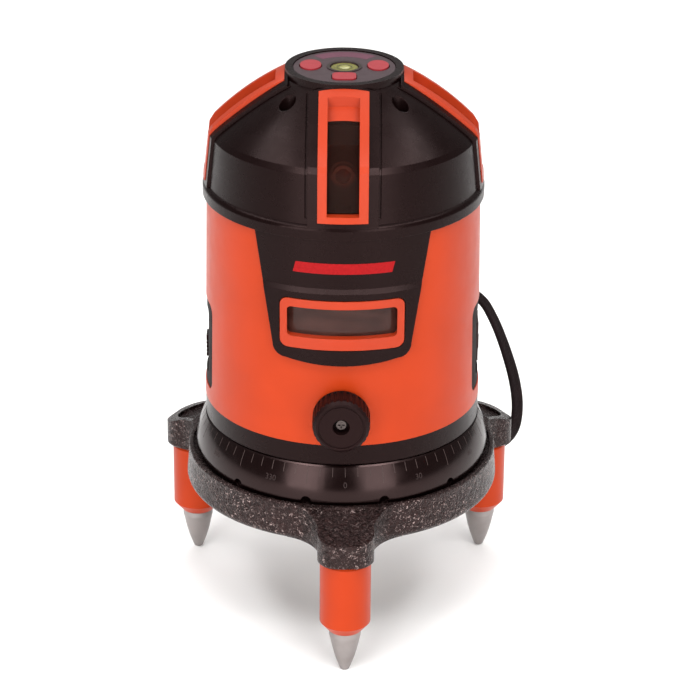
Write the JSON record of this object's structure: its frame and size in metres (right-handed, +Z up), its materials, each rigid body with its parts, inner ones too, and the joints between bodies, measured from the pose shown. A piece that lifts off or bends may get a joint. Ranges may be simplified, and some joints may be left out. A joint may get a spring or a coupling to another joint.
{
  "type": "cross line laser level",
  "caption": "Self-levelling cross line laser level in a round case with tall head windows and a level window, on a turning three-foot base with a graduated skirt and a fine adjustment knob.",
  "frame": {"origin": "mouth of the tripod thread, at the seat under the base, on the turning axis", "axes": "+Z up along the turning axis, -Y towards the front with the knob and the level window, +X to the right seen from the front"},
  "size_m": [0.1487, 0.1527, 0.2245],
  "materials": {
    "casting_paint": "black wrinkle paint, semi-gloss",
    "dial_black": "satin",
    "orange_plastic": "satin gloss",
    "orange_window": "satin gloss",
    "black_plastic": "fine texture, semi-gloss",
    "black_knob": "satin",
    "keypad_film": "satin film",
    "red_button": "satin",
    "window_glass": "clear, dark tint",
    "vial_fluid": "yellow-green fluid",
    "steel": "turned, zinc plated",
    "screw_steel": "blackened",
    "brass": "turned",
    "copper_plate": "plain",
    "aluminium": "machined",
    "gear_plastic": "plain",
    "board_green": "solder mask",
    "cell_wrap": "printed film, plain",
    "holder_black": "plain",
    "strap_nylon": "woven",
    "rubber_black": "matt"
  },
  "bodies": {
    "base": {"tribrach_casting": "casting_paint", "base_screws": "screw_steel", "dial_ring": "dial_black", "pivot_post": "aluminium", "tripod_thread_insert": "brass", "clutch_spring": "steel", "retaining_nut": "steel", "foot_guide_pins": "steel"},
    "clutch": {"ring_gear": "gear_plastic"},
    "housing": {"base_plate": "black_plastic", "case_screws": "screw_steel", "knob_bush": "brass", "body_shell": "orange_plastic", "head_shell": "black_plastic", "head_screws": "screw_steel", "window_frame_front": "orange_window", "window_frame_right": "orange_window", "window_frame_rear": "orange_window", "window_frame_left": "orange_window", "window_glass_front": "window_glass", "window_glass_right": "window_glass", "window_glass_rear": "window_glass", "window_glass_left": "window_glass", "level_window_frame": "orange_window", "level_window_glass": "window_glass", "side_panel_left": "black_plastic", "side_panel_right": "black_plastic", "power_jack": "holder_black", "battery_holder": "holder_black", "battery_cells": "cell_wrap", "chassis_frame": "aluminium", "damper_plate": "copper_plate", "main_pcb": "board_green", "keypad_pcb": "board_green", "keypad_plate": "keypad_film", "vial": "vial_fluid", "strap_lug": "black_plastic", "strap": "strap_nylon"},
    "fine_knob": {"fine_knob": "black_knob", "knob_screw": "screw_steel", "pinion_shaft": "steel"},
    "gimbal": {"gimbal_ring": "aluminium"},
    "pendulum": {"pendulum_frame": "aluminium", "vertical_lasers": "aluminium", "horizontal_laser": "aluminium", "plumb_laser": "brass", "damper_magnet": "brass"},
    "lock_slider": {"lock_slider": "black_knob"},
    "lock_pad": {"lock_pad": "gear_plastic"},
    "battery_door": {"battery_door": "orange_plastic"},
    "jack_cover": {"jack_cover": "rubber_black"},
    "button_left": {"button_left": "red_button"},
    "button_right": {"button_right": "red_button"},
    "button_front": {"button_front": "red_button"},
    "foot_sleeve_1": {"foot_sleeve_1": "orange_plastic"},
    "foot_spindle_1": {"foot_spindle_1": "steel"},
    "foot_sleeve_2": {"foot_sleeve_2": "orange_plastic"},
    "foot_spindle_2": {"foot_spindle_2": "steel"},
    "foot_sleeve_3": {"foot_sleeve_3": "orange_plastic"},
    "foot_spindle_3": {"foot_spindle_3": "steel"}
  },
  "joints": [
    {"name": "coarse_turn", "type": "hinge", "parent": "base", "child": "clutch", "pos_m": [0, 0, 0.049], "axis": [0, 0, 1], "continuous": true},
    {"name": "fine_turn", "type": "hinge", "parent": "clutch", "child": "housing", "pos_m": [0, 0, 0.042], "axis": [0, 0, 1], "continuous": true, "deforming": ["strap"]},
    {"name": "fine_knob_turn", "type": "hinge", "parent": "housing", "child": "fine_knob", "pos_m": [0, -0.055, 0.0569], "axis": [0, -1, 0], "continuous": true},
    {"name": "gimbal_roll", "type": "hinge", "parent": "housing", "child": "gimbal", "pos_m": [0, 0, 0.123], "axis": [1, 0, 0], "range_deg": [-3, 3]},
    {"name": "pendulum_pitch", "type": "hinge", "parent": "gimbal", "child": "pendulum", "pos_m": [0, 0, 0.123], "axis": [0, 1, 0], "range_deg": [-3, 3]},
    {"name": "lock_slide", "type": "slide", "parent": "housing", "child": "lock_slider", "axis": [0, 0, 1], "range_m": [0, 0.008]},
    {"name": "lock_lift", "type": "slide", "parent": "housing", "child": "lock_pad", "axis": [0, 0, 1], "range_m": [0, 0.003]},
    {"name": "battery_door_slide", "type": "slide", "parent": "housing", "child": "battery_door", "axis": [0, 1, 0], "range_m": [0, 0.03]},
    {"name": "jack_cover_hinge", "type": "hinge", "parent": "housing", "child": "jack_cover", "pos_m": [0.053, 0.0066, 0.0665], "axis": [0, 0, 1], "range_deg": [0, 100]},
    {"name": "foot_turn_1", "type": "hinge", "parent": "base", "child": "foot_sleeve_1", "pos_m": [0.00203, -0.06857, 0.002], "axis": [0, 0, 1], "range_deg": [0, 2160]},
    {"name": "foot_lift_1", "type": "slide", "parent": "base", "child": "foot_spindle_1", "axis": [0, 0, -1], "range_m": [0, 0.009]},
    {"name": "foot_turn_2", "type": "hinge", "parent": "base", "child": "foot_sleeve_2", "pos_m": [0.05837, 0.03605, 0.002], "axis": [0, 0, 1], "range_deg": [0, 2160]},
    {"name": "foot_lift_2", "type": "slide", "parent": "base", "child": "foot_spindle_2", "axis": [0, 0, -1], "range_m": [0, 0.009]},
    {"name": "foot_turn_3", "type": "hinge", "parent": "base", "child": "foot_sleeve_3", "pos_m": [-0.0604, 0.03252, 0.002], "axis": [0, 0, 1], "range_deg": [0, 2160]},
    {"name": "foot_lift_3", "type": "slide", "parent": "base", "child": "foot_spindle_3", "axis": [0, 0, -1], "range_m": [0, 0.009]},
    {"name": "press_left", "type": "slide", "parent": "housing", "child": "button_left", "axis": [0, 0, -1], "range_m": [0, 0.0006], "stiffness_N_per_m": 1500, "springref_m": -0.0005},
    {"name": "press_right", "type": "slide", "parent": "housing", "child": "button_right", "axis": [0, 0, -1], "range_m": [0, 0.0006], "stiffness_N_per_m": 1500, "springref_m": -0.0005},
    {"name": "press_front", "type": "slide", "parent": "housing", "child": "button_front", "axis": [0, 0, -1], "range_m": [0, 0.0006], "stiffness_N_per_m": 1500, "springref_m": -0.0005}
  ],
  "couplings": [
    {"joint": "fine_knob_turn", "follows": "fine_turn", "ratio": -6},
    {"joint": "lock_lift", "follows": "lock_slide", "ratio": 0.375},
    {"joint": "foot_turn_1", "follows": "foot_lift_1", "rad_per_m": 4188.7},
    {"joint": "foot_turn_2", "follows": "foot_lift_2", "rad_per_m": 4188.7},
    {"joint": "foot_turn_3", "follows": "foot_lift_3", "rad_per_m": 4188.7}
  ]
}
